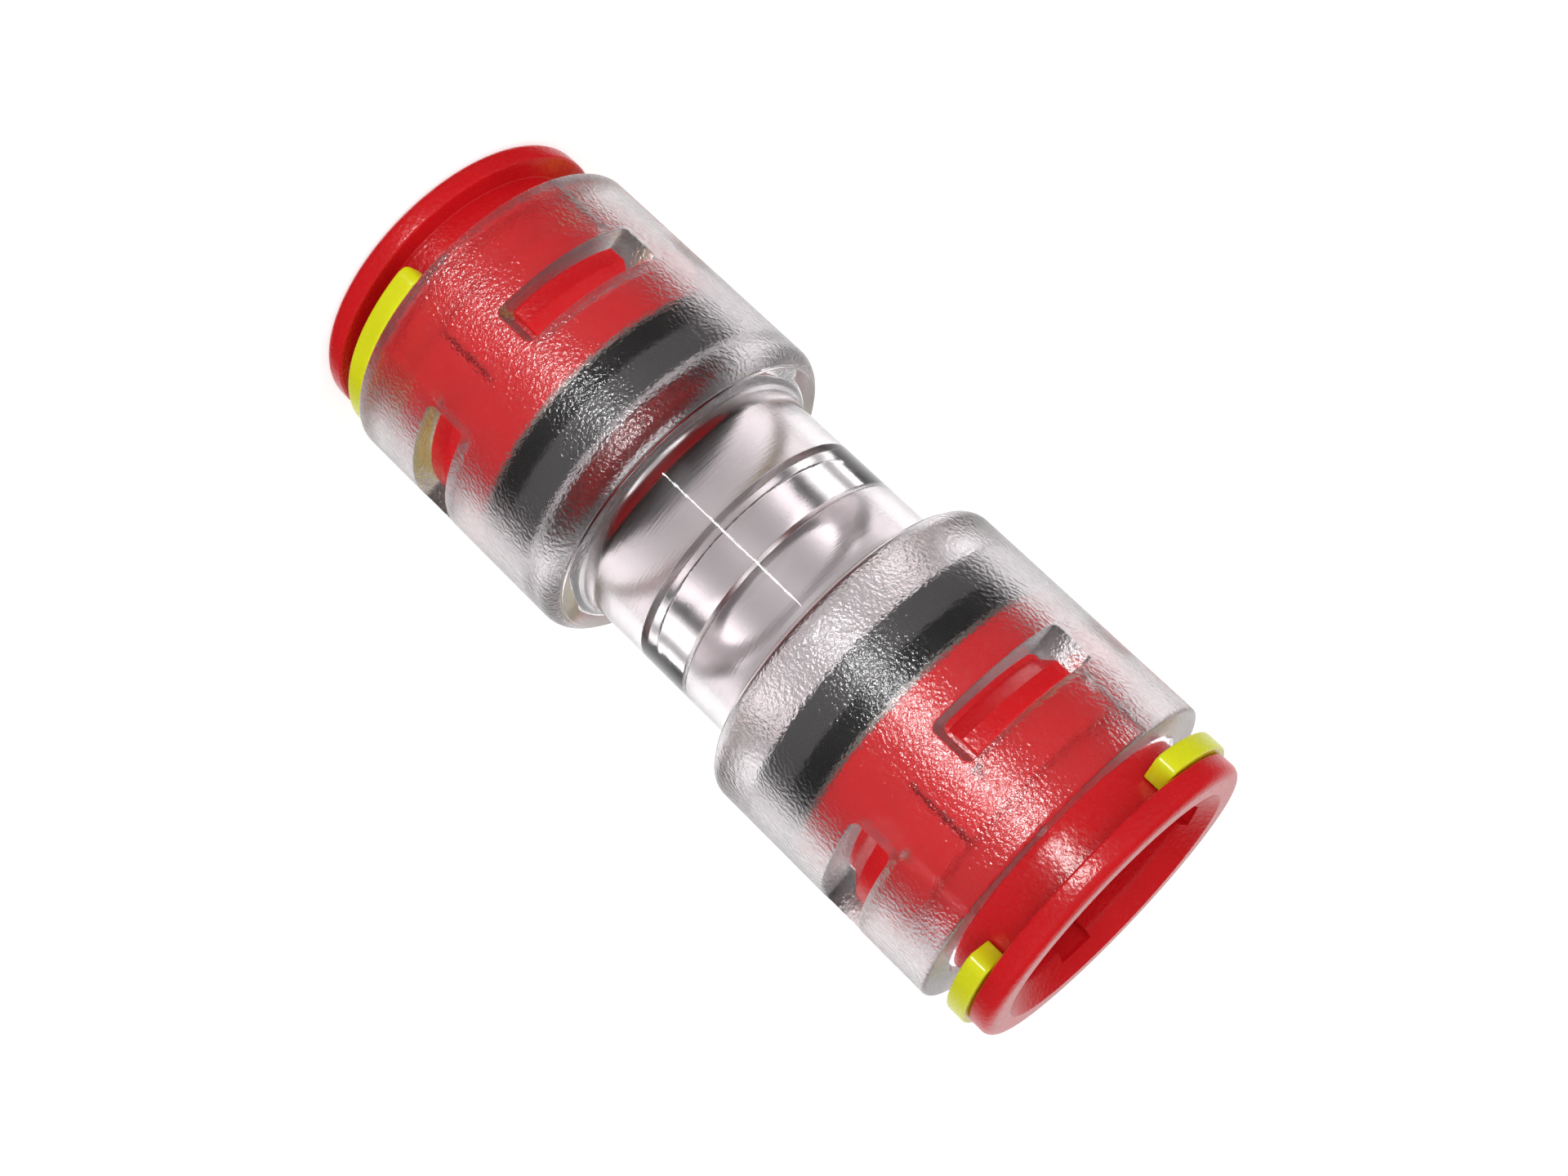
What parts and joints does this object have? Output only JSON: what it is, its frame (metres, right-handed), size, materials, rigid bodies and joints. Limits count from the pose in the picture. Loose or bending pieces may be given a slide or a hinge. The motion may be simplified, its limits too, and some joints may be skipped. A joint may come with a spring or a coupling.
{
  "type": "tube connector",
  "caption": "Straight push-fit tube connector: clear waisted body with windowed sockets, red cartridges and release sleeves with flanges, yellow locking clips and inner seals.",
  "frame": {"origin": "centre of end a's flange face, on the tube axis, at the base of the standing connector", "axes": "+Z along the tube axis from end a up to end b; -Y points through the middle of a window of each socket"},
  "size_m": [0.0216, 0.0216, 0.0554],
  "materials": {
    "clear_plastic": "clear polycarbonate, polished at the waist and spark-eroded on the sockets",
    "red_plastic": "moulded with a fine spark-eroded grain",
    "yellow_plastic": "smooth moulding with a soft shine",
    "black_rubber": "smooth moulded rubber",
    "black_plastic": "plain moulding",
    "spring_steel": "stamped spring steel"
  },
  "bodies": {
    "connector": {"connector_body": "clear_plastic", "seal_ring_a": "black_rubber", "support_ring_a": "black_plastic", "grip_ring_a": "spring_steel", "cartridge_a": "red_plastic", "seal_ring_b": "black_rubber", "support_ring_b": "black_plastic", "grip_ring_b": "spring_steel", "cartridge_b": "red_plastic"},
    "sleeve_a": {"release_sleeve_a": "red_plastic"},
    "sleeve_b": {"release_sleeve_b": "red_plastic"},
    "clip_a": {"locking_clip_a": "yellow_plastic"},
    "clip_b": {"locking_clip_b": "yellow_plastic"}
  },
  "joints": [
    {"name": "sleeve_a_press", "type": "slide", "parent": "connector", "child": "sleeve_a", "axis": [0, 0, 1], "range_m": [0, 0.001]},
    {"name": "sleeve_b_press", "type": "slide", "parent": "connector", "child": "sleeve_b", "axis": [0, 0, -1], "range_m": [0, 0.001]},
    {"name": "clip_a_pull", "type": "slide", "parent": "connector", "child": "clip_a", "axis": [0.1908, 0.9816, 0], "range_m": [0, 0.016], "deforming": ["locking_clip_a"]},
    {"name": "clip_b_pull", "type": "slide", "parent": "sleeve_b", "child": "clip_b", "axis": [-0.454, 0.891, 0], "range_m": [0, 0.016], "deforming": ["locking_clip_b"]}
  ]
}
